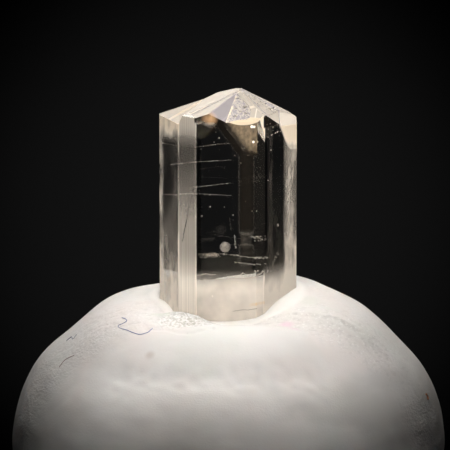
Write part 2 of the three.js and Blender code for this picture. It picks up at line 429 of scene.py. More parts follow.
    def front_and_right_film(self):
        """On the other three faces, with a painted glow near the foot, and the painted light and shade high
        on them.
        """
        both = self.front + self.narrow - self.front * self.narrow
        return (
            # Painted glow: the films thicken low on these faces, where the putty's light comes up through the
            # foot.
            both * self.cloud * 1.4 * self.below(6.9, 7.75) + self.narrow * 0.01
            + (self.painted_bright_wedge + self.strip + self.painted_dark_reflection + self.shade + self.painted_amber_glow + self.sparks) * 0.92
            + self.right_side * self.cloud * 2.6 * self.below(6.5, 7.9)
            + self.right_strip * self.speckle * (0.35 + 0.5 * self.below(7.5, 9.5))
            + self.edges * 0.22 * self.speckle
        )

    def point_film(self):
        """On the sloping faces and in the chip, partly for their etching and partly as painted reflection
        that makes the point pale.
        """
        return (
            self.left_roof * 0.35 + self.steep * 0.75 + self.sloping(FRONT_RIGHT) * 0.55
            + self.patch * 0.85 + self.right_roof * 0.85 + self.sloping(RIGHT_BEVEL_FRONT) * 0.7
            + self.sloping(RIGHT_BEVEL_SIDE) * 0.85 + self.sloping(NARROW_FACE_BEVEL) * 0.8 + self.chip * 0.85
        )

    def film_colour(self):
        """Pale, with a tan tint, grey on the point, painted shade, a painted amber glow and two fine lines
        near the foot.
        """
        pale, tan, lilac = (0.95, 0.88, 0.79, 1), (0.95, 0.79, 0.58, 1), (0.31, 0.29, 0.306, 1)
        # Tan on the chip, the seam, a spot on the right strip and the left roof, and the warm colour of
        # painted highlights.
        tan_tint = (
            self.chip + self.seam * 0.8 + self.near((1.97, -0.05, 9.85), 0.12, 0.3)
            + self.above(12.3, 13) * self.left_side * 0.7
            + self.left_roof * (0.15 + 0.4 * self.mottle) + (self.painted_bright_wedge + self.strip) * 0.6
        )
        dark_line = self.front * self.streak(self.z - 0.1 * self.x + self.wavy, 6.18, 0.02)
        rusty_line = self.streak(self.z - 0.08 * self.x + self.wavy, 6.36, 0.07) * self.past(self.x, 0.7, 0.9)
        return self.layered(
            pale,
            (tan_tint, tan),
            # Grey on the sunk patch and the right roof: their etching, and painted grey reflection.
            ((self.patch + self.right_roof) * self.even * 0.8, (0.42, 0.39, 0.355, 1)),
            (self.etched_grey_and_painted_reflection, lilac),
            # Painted shade: near black under the dark films, and a mottled brown in the painted dark
            # reflection.
            ((self.painted_dark_reflection + self.shade) * 6, (0.006, 0.005, 0.004, 1)),
            (self.painted_dark_reflection * (1.7 * self.etch - 0.1), (0.17, 0.13, 0.085, 1)),
            (self.painted_amber_glow, (0.44, 0.27, 0.15, 1)),
            (dark_line * self.past(self.x, 0.1, 0.25) * 0.8 + self.edges * 0.15, (0.25, 0.2, 0.14, 1)),
            ((self.front + self.narrow) * rusty_line * 0.5, (0.86, 0.66, 0.4, 1)),
            (self.sparks, pale),
        )

    def milk(self):
        """What the films are made of, which light comes through except where they are grey or painted dark.
        """
        white = self.node("ShaderNodeBsdfPrincipled", {}, {
            "Base Color": self.film_colour(), "Roughness": 0.8, "Specular IOR Level": 0.0,
        })
        glow = self.node("ShaderNodeBsdfTranslucent", {}, {"Color": (0.95, 0.88, 0.79, 1)})
        lit = 1 - self.between(self.painted_dark_reflection + self.shade + self.etched_grey_and_painted_reflection, 0, 0.4)
        return self.mixed((0.5 - 0.3 * self.below(6.8, 8)) * lit, white, glow)

    def clear(self):
        """The clear mineral between the films, a little rough on some faces."""
        texture = (
            self.lines * self.left_front * 0.15 + self.mottle * self.left_side * 0.2
            + self.mottle * self.right_strip * 0.4 + self.etch * self.patch * 0.6
        )
        roughness = (
            0.05 * self.left_side + 0.08 * self.left_front + 0.15 * self.right_strip
            + 0.2 * self.right_roof + 0.15 * self.patch
        )
        return self.node("ShaderNodeBsdfPrincipled", {}, {
            "Base Color": (1, 1, 1, 1), "IOR": 1.66, "Transmission Weight": 1.0,
            "Roughness": roughness, "Normal": self.bump(texture, 0.2, 0.02),
        })


def clear_crystal_finish():
    """Water-clear, with milky and dark films that are nowhere quite opaque.

    Most of the films stand in for light and dark that reflection and refraction show in a real crystal.
    """
    finish = CrystalFinish()
    film = finish.left_film() + finish.front_and_right_film() + finish.point_film()
    thickest = finish.node("ShaderNodeMath", {"operation": "MINIMUM"}, {0: film, 1: 0.92})
    shader = finish.mixed(thickest, finish.clear(), finish.milk())
    tint = finish.node("ShaderNodeVolumeAbsorption", {}, {"Color": (1, 0.97, 0.9, 1), "Density": 40.0})
    return finish.surface(shader, tint)


# ---- The putty's finish ----
def putty_tones(finish):
    """Broad, faint changes of tone in the white."""
    tint = finish.noise(420, 2)
    return [
        (finish.between(finish.noise(260, 2), 0.35, 0.65), (0.875, 0.86, 0.84, 1)),
        (finish.between(tint, 0.52, 0.66) * 0.5, (0.87, 0.81, 0.79, 1)),
        ((1 - finish.between(tint, 0.34, 0.46)) * 0.5, (0.79, 0.81, 0.77, 1)),
    ]


def painted_low_shade(finish):
    """Painted shade: a patchy grey on the lower part of the lump."""
    sway = finish.noise((190, 190, 460))
    lower = 1 - finish.between(finish.axis(finish.place, "Z"), 3.9 * MM, 5.4 * MM)
    return [(lower * (1 - finish.between(sway, 0.36, 0.6)) * 0.5, (0.5, 0.485, 0.46, 1))]


def painted_relief_light(finish, grain, skin, torn, slab):
    """Painted shade in the gaps between crumbs where the putty is torn and in creases on the slab of it
    before the crystal, and painted glints on both.
    """
    return [
        (torn * (1 - finish.between(grain, 0.36, 0.5)) * 0.6, (0.6, 0.6, 0.54, 1)),
        (torn * finish.between(grain, 0.5, 0.6) * 0.8, (0.96, 0.96, 0.94, 1)),
        (slab * (1 - finish.between(skin, 0.36, 0.48)) * 0.22, (0.5, 0.48, 0.46, 1)),
        (slab * finish.between(grain, 0.56, 0.66) * 0.5, (0.99, 0.98, 0.96, 1)),
    ]


def putty_stains(finish):
    """Small smudges of colour that the putty has picked up, and a painted greenish shadow by the crystal's
    foot.
    """
    # green: a painted greenish shadow by the foot of the left side, and a fainter green tint right of the
    # crystal.
    green = finish.near((-2.33, -2.93, 6.22), 0.15, 0.55) + finish.near((2.9, -1.09, 6.42), 0.2, 0.7) * 0.5
    pink = finish.near((2.07, -3.21, 5.94), 0.06, 0.4) + finish.near((2.34, -3.78, 5.86), 0.05, 0.36) * 0.6
    brown = finish.near((-2.74, -5.22, 5.14), 0.03, 0.25)
    dark = finish.near((-1.45, -4.65, 5.85), 0.02, 0.06) + finish.near((-1, -3.95, 5.95), 0.01, 0.05)
    return [
        (green * 0.5, (0.66, 0.72, 0.62, 1)), (pink * 0.55, (0.86, 0.62, 0.74, 1)),
        (brown * 0.35, (0.5, 0.4, 0.33, 1)), (dark * 0.8, (0.15, 0.12, 0.1, 1)),
    ]


def putty_finish():
    finish = Finish("white_putty")
    grain, fine = finish.noise((10500, 10500, 14000)), finish.noise(16000)
    skin = finish.noise((3800, 4600, 9000), 5)
    torn = finish.near((-1, -3.3, 6.05), 0.55, 0.95) + finish.near((-1.8, -3.6, 6), 0.5, 0.9)
    y = finish.axis(finish.place, "Y")
    slab = finish.between(y, -4.6 * MM, -3.4 * MM) * (1 - 0.6 * finish.between(y, -2.6 * MM, -0.6 * MM))
    out = finish.vector("LENGTH", finish.vector("MULTIPLY", finish.place, (1, 1, 0)))["Value"]
    # Painted light: the putty is whiter in the socket and round the crystal, so that the foot looks lit
    # through the glass.
    by_crystal = 1 - finish.between(out, 2.7 * MM, 3 * MM)
    colour = finish.layered(
        (0.81, 0.785, 0.76, 1), *putty_tones(finish), *painted_relief_light(finish, grain, skin, torn, slab),
        *painted_low_shade(finish), *putty_stains(finish), (by_crystal, (0.985, 0.965, 0.935, 1)),
    )
    texture = fine * 0.3 + torn * grain * 3 + slab * (skin * 1.8 + grain * 1.2)
    shader = finish.node("ShaderNodeBsdfPrincipled", {}, {
        "Base Color": colour, "Roughness": 0.6 + 0.2 * fine,
        "Subsurface Weight": 0.3, "Subsurface Radius": (1.0, 0.85, 0.7), "Subsurface Scale": 0.0007,
        "Normal": finish.bump(texture, 0.5, 0.03),
    })
    return finish.surface(shader)


# ---- Finishes of the small things ----
def milky_finish(name, through):
    """White bubbles and films inside the crystal, which let some light through."""
    finish = Finish(name)
    cloud = finish.noise(1500, 2)
    white = finish.node("ShaderNodeBsdfPrincipled", {}, {
        "Base Color": finish.ramp(cloud, [(0.3, (0.97, 0.92, 0.85, 1)), (0.7, (1, 0.99, 0.96, 1))]),
        "Roughness": 0.8,
    })
    glow = finish.node("ShaderNodeBsdfTranslucent", {}, {"Color": (1, 0.98, 0.94, 1)})
    return finish.surface(finish.mixed(through, white, glow))


def shell_finish():
    """Each shell of the soft round cloud, which lets most light past."""
    finish = Finish("soft_shell")
    shader = finish.node("ShaderNodeBsdfPrincipled", {}, {
        "Base Color": (1, 0.98, 0.95, 1), "Roughness": 0.6, "Alpha": 0.16,
    })
    return finish.surface(shader)


def plain_finish(name, colour):
    """One matt colour, a little uneven."""
    finish = Finish(name)
    darker = (*(0.93 * part for part in colour), 1)
    shader = finish.node("ShaderNodeBsdfPrincipled", {}, {
        "Base Color": finish.ramp(finish.noise(300), [(0.3, darker), (0.7, (*colour, 1))]),
        "Roughness": 0.8,
    })
    return finish.surface(shader)


# ---- The lump's form, the same as the solid's ----
def along_profile(share):
    """Distance and height at a share of the way along the smooth curve through LUMP_PROFILE."""
    last = len(LUMP_PROFILE) - 1
    at = share * last
    step = min(int(at), last - 1)
    part = at - step
    knots = [LUMP_PROFILE[min(max(step + k, 0), last)] for k in (-1, 0, 1, 2)]
    result = []
    for a, b, c, d in zip(*knots):
        start, end = (c - a) / 2, (d - b) / 2
        cubic, square = 2 * b - 2 * c + start + end, -3 * b + 3 * c - 2 * start - end
        result.append(cubic * part**3 + square * part**2 + start * part + b)
    return result


def outline_radius(angle):
    waves = sum(reach * math.sin(count * angle + start) for count, reach, start in OUTLINE_WAVES)
    return LUMP_RADIUS * (1 + waves)


def prism_radius(angle):
    """How far the crystal's side is from its axis, less the grip that the putty takes."""
    nearest = FAR
    for azimuth, distance in PRISM_FACES:
        toward = math.sin(math.radians(azimuth) - angle)
        if toward > 0.05:
            nearest = min(nearest, (distance - GRIP) / toward)
    return nearest


def foot_height(x, y):
    """The height of the crystal's broken foot, plus the grip."""
    height = -FAR
    for azimuth, slope, middle in FOOT_FACES:
        turn, lean = math.radians(azimuth), math.radians(slope)
        out = x * math.sin(turn) - y * math.cos(turn)
        height = max(height, middle - out * math.sin(lean) / math.cos(lean))
    return height + GRIP


def lump_height(x, y):
    """How far the swellings and hollows together raise the top."""
    return sum(height * math.exp(-((x - ax) / sx) ** 2 - ((y - ay) / sy) ** 2)
               for (ax, ay), height, (sx, sy) in LUMPS)


# ---- The lump's fine relief ----
# Furrows and ridges pressed into the putty: their path seen from above, how far they rise, and half width.
FOLDS = [
    ([(-2.9, -4.1), (-2.23, -4.29), (-1.77, -4.57), (-1.34, -4.69), (-0.81, -4.66), (-0.5, -4.5)],
     -0.1, 0.06),
    ([(-2.6, -3.9), (-2, -4.15), (-1.5, -4.3), (-0.9, -4.35), (-0.4, -4.1)], 0.05, 0.12),
    ([(1.3, -2.5), (1.87, -2.45), (2.58, -2.6), (3.3, -2.65), (4.2, -2.6), (4.9, -2.8), (5.6, -2.7),
      (6.4, -2.9)], 0.06, 0.07),
    ([(1.5, -2.8), (2.2, -2.75), (2.9, -2.9), (3.7, -2.85), (4.4, -3), (5.1, -3.2)], 0.04, 0.06),
    ([(3.9, -2.6), (4.4, -2.85), (4.8, -2.7), (5.15, -3)], -0.06, 0.035),
    ([(4.6, -2.4), (5.2, -2.5), (5.8, -2.65), (6.3, -2.8), (6.7, -2.9)], -0.04, 0.04),
    ([(4.9, -3.2), (5.4, -3.4), (5.8, -3.8), (6.1, -4.1)], -0.03, 0.04),
    ([(-5.9, -1.2), (-5.3, -1.8), (-4.7, -2.2), (-4, -2.6), (-3.4, -2.7)], -0.04, 0.05),
    ([(-6.2, -2), (-5.5, -2.5), (-4.7, -2.9), (-4.1, -3.3)], -0.04, 0.04),
    ([(-5, -2.9), (-4.5, -2.5), (-4.2, -2), (-3.8, -1.8)], -0.03, 0.04),
    ([(-3.8, -5.5), (-2.72, -6), (-1.3, -6.28), (-0.1, -6.36), (1.2, -6.25), (2.5, -5.9), (3, -5.65)],
     -0.15, 0.42),
    ([(-3, -6.35), (-1.4, -6.75), (-0.1, -6.9), (1.3, -6.72), (2.6, -6.3)], 0.05, 0.4),
    ([(-5.5, -4.6), (-5.9, -4.7), (-6.3, -4.6)], -0.04, 0.2),
    ([(-6.6, -3.6), (-6.9, -2.9), (-7.1, -2.2)], -0.06, 0.3),
]
# The torn patch in front of the crystal, seen from above: its middle and its spread.
TORN = ((-1.45, -3.45), (1.15, 0.85))
# Each noise: how fine it is, in waves to a millimetre, and how high it stands.
UNEVENNESS, COARSE_CRUMBS, FINE_CRUMBS = (0.4, 0.05), (4.5, 0.05), (9, 0.06)
# How fine the folds' wandering is, and how far it takes them off their paths.
WANDER = (1.7, 0.12)
# The wrinkles lie in a band: its height in the middle, its rise to the right, its y, and its spread.
WRINKLE_Z, WRINKLE_RISE, WRINKLE_Y, WRINKLE_SPREAD = 5.6, 0.06, -2.9, (1.6, 0.7)
WRINKLE_DEPTH = 0.03
# Behind this line the skin has only its unevenness.
PLAIN_BEHIND = 0.5


def distance_to(path, x, y):
    """How far a place seen from above is from a path's nearest stretch."""
    nearest = FAR
    for (ax, ay), (bx, by) in zip(path, path[1:]):
        dx, dy = bx - ax, by - ay
        share = min(1, max(0, ((x - ax) * dx + (y - ay) * dy) / (dx * dx + dy * dy)))
        nearest = min(nearest, math.hypot(x - ax - share * dx, y - ay - share * dy))
    return nearest


def folds_at(spot):
    """Each fold wanders a little from its path and is deeper in some places than in others."""
    height = 0
    waves, reach = WANDER
    waver = noise.noise(spot * waves) * reach
    for path, rise, width in FOLDS:
        away = distance_to(path, spot.x + waver, spot.y - waver) / width
        if away < 3:
            height += rise * math.exp(-away * away) * (0.75 + 0.5 * noise.noise(spot * 2.3))
    return height


def crumbs_at(spot):
    """The torn putty's crumbs, coarse and fine, with hollows between the fine ones."""
    (tx, ty), (sx, sy) = TORN
    (coarse_waves, coarse_height), (fine_waves, fine_height) = COARSE_CRUMBS, FINE_CRUMBS
    torn = math.exp(-(((spot.x - tx) / sx) ** 2 + ((spot.y - ty) / sy) ** 2) ** 2)
    if torn < 0.02:
        return 0
    fine = fine_height * (abs(noise.noise(spot * fine_waves)) - 0.2)
    return torn * (coarse_height * abs(noise.noise(spot * coarse_waves)) + fine)


def wrinkles_at(spot):
    """Fine level wrinkles in a band across the front of the rim, fading out towards its middle."""
    deep, tall = WRINKLE_SPREAD
    off_z = (spot.z - WRINKLE_Z - WRINKLE_RISE * spot.x) / tall
    off_y = (spot.y - WRINKLE_Y) / deep
    wrinkle = 1 - abs(noise.noise(Vector((spot.x * 1.6, spot.y * 4, spot.z * 4)))) * 5
    return WRINKLE_DEPTH * math.exp(-off_z**2 - off_y**2) * max(0, wrinkle) * min(1, abs(spot.x) / 2)


def relief(x, y, z):
    """How far the skin stands out from the solid's form."""
    spot = Vector((x, y, z))
    waves, rise = UNEVENNESS
    height = noise.fractal(spot * waves, 1.0, 2.0, 3) * rise
    if y <= PLAIN_BEHIND:
        height += folds_at(spot) + crumbs_at(spot) - wrinkles_at(spot)
    return height


# ---- The lump's mesh ----
COLUMNS = 600
FLOOR_RINGS, WALL_RINGS, TOP_RINGS = 8, 12, 110
# The skin's rings crowd together towards the crystal by this power.
CROWDING = 1.15
# The rim is shifted to meet the crystal's side, and the shift is gone at this share of the way down.
SHIFT_GONE = 1 / 6
# The relief is full above this height, and goes down to nothing at the floor.
RELIEF_FULL_ABOVE = 1.5
# Below the first height it stands outwards alone, and above the second upwards alone.
OUTWARDS_BELOW, UPWARDS_ABOVE = 2.1, 4.6


def rim_share(side, reach):
    """Where along its profile the lump meets the crystal's side, found by halving."""
    low, high = 0.0, 0.7
    for _ in range(24):
        middle = (low + high) / 2
        if along_profile(middle)[0] * reach < side:
            low = middle
        else:
            high = middle
    return low


def skin_strip(cosine, sine, side, reach):
    """One strip of the lump's outside, from the crystal's side down to the floor."""
    start = rim_share(side, reach)
    rim = along_profile(start)[0]
    slip_x = side * cosine - (rim * reach * cosine + LUMP_SHIFT)
    slip_y = side * sine - rim * reach * sine
    strip = []
    for ring in range(TOP_RINGS + 1):
        share = (ring / TOP_RINGS) ** CROWDING
        out, up = along_profile(start + (1 - start) * share)
        fade = max(0.0, 1 - share / SHIFT_GONE) ** 2
        x = out * reach * cosine + LUMP_SHIFT + slip_x * fade
        y = out * reach * sine + slip_y * fade
        z = up + min(1, up / LUMPS_FULL_ABOVE) * lump_height(x, y)
        # The first ring meets the crystal's side, so it has no relief.
        bulge = relief(x, y, z) * min(1, max(0, up) / RELIEF_FULL_ABOVE) if ring else 0
        sideways = min(1, max(0, (UPWARDS_ABOVE - up) / (UPWARDS_ABOVE - OUTWARDS_BELOW)))
        outwards_part, upwards_part = bulge * sideways, bulge * (1 - sideways)
        strip.append((x + cosine * outwards_part, y + sine * outwards_part, z + upwards_part))
    return strip


def lump_strip(angle):
    """One strip of the whole lump: the socket's floor from the axis out, its wall, and the outside."""
    cosine, sine = math.cos(angle), math.sin(angle)
    side = prism_radius(angle)
    bottom, wall = [], []
    for ring in range(1, FLOOR_RINGS + 1):
        share = ring / FLOOR_RINGS
        x, y = side * cosine * share, side * sine * share
        bottom.append((x, y, foot_height(x, y)))
    skin = skin_strip(cosine, sine, side, outline_radius(angle))
    foot, rim = bottom[-1][2], skin[0][2]
    for ring in range(1, WALL_RINGS + 1):
        wall.append((side * cosine, side * sine, foot + (rim - foot) * ring / (WALL_RINGS + 1)))
    return bottom + wall + skin


def ringed_faces(rings):
    """The faces of a closed shape that has one point, then rings of COLUMNS points, then a last point."""
    def index(ring, column):
        return 1 + ring * COLUMNS + column % COLUMNS

    faces = []
    for column in range(COLUMNS):
        after = column + 1
        faces.append((0, index(0, column), index(0, after)))
        for ring in range(rings - 1):
            faces.append((index(ring, column), index(ring + 1, column),
                          index(ring + 1, after), index(ring, after)))
        faces.append((1 + rings * COLUMNS, index(rings - 1, after), index(rings - 1, column)))
    return faces


def putty_lump(material):
    """One closed mesh from the middle of the socket's floor, up and over, to the middle underneath."""
    strips = [lump_strip(2 * math.pi * column / COLUMNS) for column in range(COLUMNS)]
    rings = list(zip(*strips))
    points = [(0, 0, foot_height(0, 0)), *(point for ring in rings for point in ring), (0, 0, 0)]
    return riding(piece("putty_lump", points, ringed_faces(len(rings)), material))


# ---- Inclusions ----
def chain(*runs):
    """The points of some open paths, and the edges that join each one's points."""
    points, edges = [], []
    for run in runs:
        edges += [(len(points) + k, len(points) + k + 1) for k in range(len(run) - 1)]
        points += run
    return points, edges


def beads(shape, points):
    """A small round bubble on each point, of any size up to Bead size and more often a small one."""
    bead = shape.node("GeometryNodeMeshIcoSphere", {}, {"Radius": 1.0, "Subdivisions": 1})
    odd = shape.node("FunctionNodeRandomValue", {"data_type": "FLOAT"}, {
        2: 0.2, 3: 1.0, "Seed": shape.start["Seed"],
    })[1]
    return shape.node("GeometryNodeInstanceOnPoints", {}, {
        "Points": points, "Instance": bead, "Scale": odd * odd * shape.start["Bead size"],
    })


def bead_trail_shape():
    """Small bubbles strung along a path."""
    shape = Shape("bead_trail", {"Spacing": "Float", "Bead size": "Float", "Wander": "Vector", "Seed": "Int"})
    line = shape.node("GeometryNodeMeshToCurve", {}, {"Mesh": shape.start["Path"]})
    dots = shape.node("GeometryNodeResampleCurve", {"mode": "LENGTH"}, {
        "Curve": line, "Length": shape.start["Spacing"],
    })
    drift = shape.node("FunctionNodeRandomValue", {"data_type": "FLOAT_VECTOR"}, {
        "Min": shape.scaled(shape.start["Wander"], -1.0), "Max": shape.start["Wander"],
        "Seed": shape.start["Seed"],
    })
    placed = shape.node("GeometryNodeSetPosition", {}, {"Geometry": dots, "Offset": drift})
    return shape.end(beads(shape, placed))


def bead_spots_shape():
    """One small bubble on each point."""
    shape = Shape("bead_spots", {"Bead size": "Float", "Seed": "Int"})
    dots = shape.node("GeometryNodeMeshToPoints", {}, {"Mesh": shape.start["Path"]})
    return shape.end(beads(shape, dots))


def thread_shape():
    """A thin six-sided thread along a smooth path, which wavers and thins out in places."""
    shape = Shape("thread", {"Radius": "Float", "Waver": "Float", "Fading": "Float"})
    line = shape.node("GeometryNodeMeshToCurve", {}, {"Mesh": shape.start["Path"]})
    curved = shape.node("GeometryNodeCurveSplineType", {"spline_type": "CATMULL_ROM"}, {"Curve": line})
    even = shape.node("GeometryNodeResampleCurve", {"mode": "LENGTH"}, {"Curve": curved, "Length": 0.04 * MM})
    place = shape.node("GeometryNodeInputPosition")
    cloud = shape.node("ShaderNodeTexNoise", {}, {"Vector": place, "Scale": 2600.0, "Detail": 2.0})["Color"]
    sway = shape.scaled(shape.vector("SUBTRACT", cloud, (0.5, 0.5, 0.5)), shape.start["Waver"])
    bent = shape.node("GeometryNodeSetPosition", {}, {"Geometry": even, "Offset": sway})
    ring = shape.node("GeometryNodeCurvePrimitiveCircle", {}, {
        "Resolution": 6, "Radius": shape.start["Radius"],
    })
    patchy = shape.node("ShaderNodeTexNoise", {}, {"Vector": place, "Scale": 1500.0, "Detail": 3.0})["Fac"]
    swell = 1 - shape.start["Fading"] * (1 - shape.between(patchy, 0.4, 0.62))
    tube = shape.node("GeometryNodeCurveToMesh", {}, {
        "Curve": bent, "Profile Curve": ring, "Fill Caps": True, "Scale": swell,
    })
    return shape.end(tube)


# Traces of flat films that cross the crystal, each broken where it passes from one face to the next.
FILM_LINES = [
    [(-2.22, -0.59, 12.11), (-2, -0.95, 12.11), (-1.67, -1.48, 12.12)],
    [(-1.12, -1.69, 12.1), (-0.83, -1.68, 12.14), (-0.3, -1.66, 12.21), (0.24, -1.64, 12.24),
     (0.89, -1.62, 12.27)],
    [(-1.93, -1.06, 11.36), (-1.65, -1.51, 11.47)],
    [(-1.7, -1.57, 11.48), (-1.12, -1.88, 11.57)],
    [(-1.12, -1.59, 11.56), (-0.51, -1.57, 11.59), (0.1, -1.55, 11.62)],
    [(-1.12, -1.69, 10.66), (-0.65, -1.67, 10.71), (-0.22, -1.66, 10.76), (0.13, -1.64, 10.8)],
    [(-2.27, -0.52, 10.24), (-1.71, -1.41, 10.32)],
    [(-1.66, -1.59, 10.38), (-1.16, -1.86, 10.45)],
    [(-1.02, -1.58, 10.4), (-0.84, -1.58, 10.39), (-0.37, -1.56, 10.36), (0.1, -1.55, 10.34)],
]
# Brighter traces low in the front, and cracks just above the foot.
BRIGHT_LINES = [
    [(-0.34, -1.26, 8.21), (0.24, -1.24, 8.13), (0.78, -1.22, 8.07), (1, -1.21, 8.05)],
    [(0.89, -1.48, 8.06), (1.22, -1.28, 8.01)],
    [(0.2, -1.14, 7.88), (0.6, -1.13, 7.83), (1, -1.11, 7.77)],
    [(0.2, -1.24, 8.88), (0.25, -1.24, 8.69), (0.24, -1.24, 8.55), (0.27, -1.24, 8.4)],
    [(0.74, -1.32, 8.81), (1, -1.31, 8.81)],
    [(0.89, -1.48, 8.82), (1, -1.41, 8.76), (1.07, -1.37, 8.7), (0.97, -1.44, 8.67)],
]
CRACK_LINES = [
    [(-1.14, -0.99, 7.43), (-0.89, -0.98, 7.45), (-0.67, -0.97, 7.41), (-0.49, -0.97, 7.43)],
    [(0.34, -0.94, 7.35), (0.56, -0.93, 7.5), (0.78, -0.92, 7.39), (0.99, -0.91, 7.53)],
]
SMEAR = [(-1.03, -0.78, 8.07), (-0.78, -0.78, 8.1), (-0.56, -0.77, 8.12), (-0.4, -0.76, 8.1)]
WISP = [(1.64, -0.68, 8.13), (1.52, -0.89, 7.91), (1.43, -1.06, 7.68)]
VEIL = [(0.42, -1.33, 10.77), (0.62, -1.32, 10.86), (0.8, -1.32, 10.9), (0.99, -1.31, 10.98)]
LARGE_SPOTS = [
    (0.78, -1.42, 12.82), (0.85, -1.42, 12.78), (0.88, -1.42, 12.26), (1.53, -0.66, 12.52),
    (0.96, -1.62, 7.6), (1.02, -1.61, 7.49), (1.16, -1.55, 7.4), (1.2, -1.28, 10.83),
    (1.57, -0.58, 9.11),
]
SMALL_SPOTS = [
    (0.1, -1.45, 12.62), (-0.98, -1.48, 12.01), (-1.02, -1.48, 12.12), (-1.12, -1.49, 10.39),
    (-0.98, -1.48, 10.41), (-1.05, -1.49, 10.53), (-0.95, -1.48, 9.92), (-0.73, -1.47, 9.84),
    (-0.95, -1.48, 9.59), (-1.09, -1.49, 9.34), (-1.05, -1.49, 9.15), (-0.52, -1.47, 9.04),
    (0.17, -1.44, 9.62), (0.17, -1.44, 9.44), (0.85, -1.42, 9.76), (1, -1.41, 9.22),
    (-0.33, -1.46, 12.41), (-0.51, -1.47, 12.26), (0.45, -1.43, 11.5), (-0.69, -1.47, 11.22),
    (1.12, -1.57, 9.3), (0.98, -1.66, 9.02), (1.38, -0.94, 12.77), (1.38, -0.94, 12.59),
    (1.31, -1.08, 11.91), (1.68, -0.38, 11.28),
]
# Each group of threads: its paths, the threads' radius, how far they waver, and how much they thin out.
THREADS = {
    "film_traces": (FILM_LINES, 0.004, 0.06, 0.9),
    "bright_traces": (BRIGHT_LINES, 0.012, 0.16, 0.9),
    "foot_cracks": (CRACK_LINES, 0.014, 0.3, 0.6),
}
# Each cloud of tiny bubbles: its paths, the bubbles' spacing and size, and how far they stray.
CLOUDS = {
    "film_bubbles": ([*FILM_LINES, *CRACK_LINES], 0.05, 0.02, (0.02, 0.1, 0.012)),
    "bright_bubbles": (BRIGHT_LINES, 0.03, 0.03, (0.03, 0.08, 0.02)),
    "milky_smear": ([SMEAR], 0.0024, 0.013, (0.13, 0.25, 0.09)),
    "smear_core": ([SMEAR[1:]], 0.0008, 0.012, (0.07, 0.15, 0.05)),
    "thin_veil": ([VEIL], 0.0016, 0.0048, (0.1, 0.12, 0.13)),
    "side_wisp": ([WISP], 0.006, 0.016, (0.06, 0.05, 0.08)),
}
# The bubbles on single points: their places, their size and a seed.
SPOTS = {
    "large_bubbles": (LARGE_SPOTS, 0.06, 4),
    "small_bubbles": (SMALL_SPOTS, 0.035, 6),
}
# The round cloud: a white core inside faint shells, which add up to a soft edge.
CLOUD_CENTRE = (-0.12, -1.0, 8.42)
CORE_RADII = [0.14]
EDGE_RADII = [0.2 - 0.015 * count for count in range(6)]
BALL_RINGS, BALL_SIDES = 20, 28


def ball(radius, first):
    """The points of one ball at the cloud's centre, and its faces, numbered from first."""
    cx, cy, cz = CLOUD_CENTRE
    points, faces = [(cx, cy, cz - radius)], []
    for ring in range(1, BALL_RINGS):
        low = math.pi * ring / BALL_RINGS
        for side in range(BALL_SIDES):
            turn = 2 * math.pi * side / BALL_SIDES
            points.append((cx + radius * math.sin(low) * math.cos(turn),
                           cy + radius * math.sin(low) * math.sin(turn), cz - radius * math.cos(low)))
    points.append((cx, cy, cz + radius))
    top = first + 1 + (BALL_RINGS - 2) * BALL_SIDES
    for side in range(BALL_SIDES):
        beside = (side + 1) % BALL_SIDES
        faces.append((first, first + 1 + beside, first + 1 + side))
        for low in range(first + 1, top, BALL_SIDES):
            faces.append((low + side, low + beside, low + BALL_SIDES + beside, low + BALL_SIDES + side))
        faces.append((top + side, top + beside, first + len(points) - 1))
    return points, faces


def nested_balls(name, radii, material):
    points, faces = [], []
    for radius in radii:
        more_points, more_faces = ball(radius, len(points))
        points += more_points
        faces += more_faces
    return riding(piece(name, points, faces, material))


def inclusions(milk, snow, shell):
    trail, spots, thread = bead_trail_shape(), bead_spots_shape(), thread_shape()
    for name, (paths, radius, waver, fading) in THREADS.items():
        thread.grow(name, *chain(*paths), {
            "Radius": radius * MM, "Waver": waver * MM, "Fading": fading, "Finish": milk,
        }, "clear_crystal")
    for seed, (name, (paths, spacing, size, stray)) in enumerate(CLOUDS.items()):
        trail.grow(name, *chain(*paths), {
            "Spacing": spacing * MM, "Bead size": size * MM, "Wander": tuple(reach * MM for reach in stray),
            "Seed": seed, "Finish": milk,
        }, "clear_crystal")
    nested_balls("cloud_core", CORE_RADII, snow)
    nested_balls("cloud_edge", EDGE_RADII, shell)
    for name, (places, size, seed) in SPOTS.items():
        spots.grow(name, places, [], {"Bead size": size * MM, "Seed": seed, "Finish": milk}, "clear_crystal")


# ---- Lint ----
# Each fibre or speck on the putty: its colour, its radius and its path.
# A path's points are as the camera sees them: how far across, and how far up at right angles to its view.
LINT = {
    "blue_lint": ((0.33, 0.37, 0.56), 0.016, [
        (-3.79, 5.6), (-3.65, 5.56), (-3.62, 5.49), (-3.78, 5.41), (-3.9, 5.35), (-3.88, 5.28), (-3.72, 5.22),
        (-3.52, 5.17), (-3.35, 5.1), (-3.2, 5.06), (-3.05, 5.05), (-2.9, 5.09), (-2.78, 5.16), (-2.68, 5.26),
    ]),
    "grey_lint": ((0.25, 0.26, 0.32), 0.016, [(-5.85, 4.72), (-5.66, 4.87), (-5.60, 4.80), (-5.46, 4.96)]),
    "rust_speck": ((0.42, 0.19, 0.1), 0.05, [(7.13, 2.82), (7.19, 2.72), (7.2, 2.62)]),
    "brown_lint": ((0.28, 0.16, 0.12), 0.014, [(-6.02, 3.84), (-5.81, 4.09), (-5.47, 4.28)]),
}
LINT_WAVER = 0.06
LINT_FADING = 0.4
# How far the middle of a fibre is off the putty.
LINT_LIFT = 0.02
# How far in front of the crystal the search for the putty's skin starts.
SEARCH_START = 60


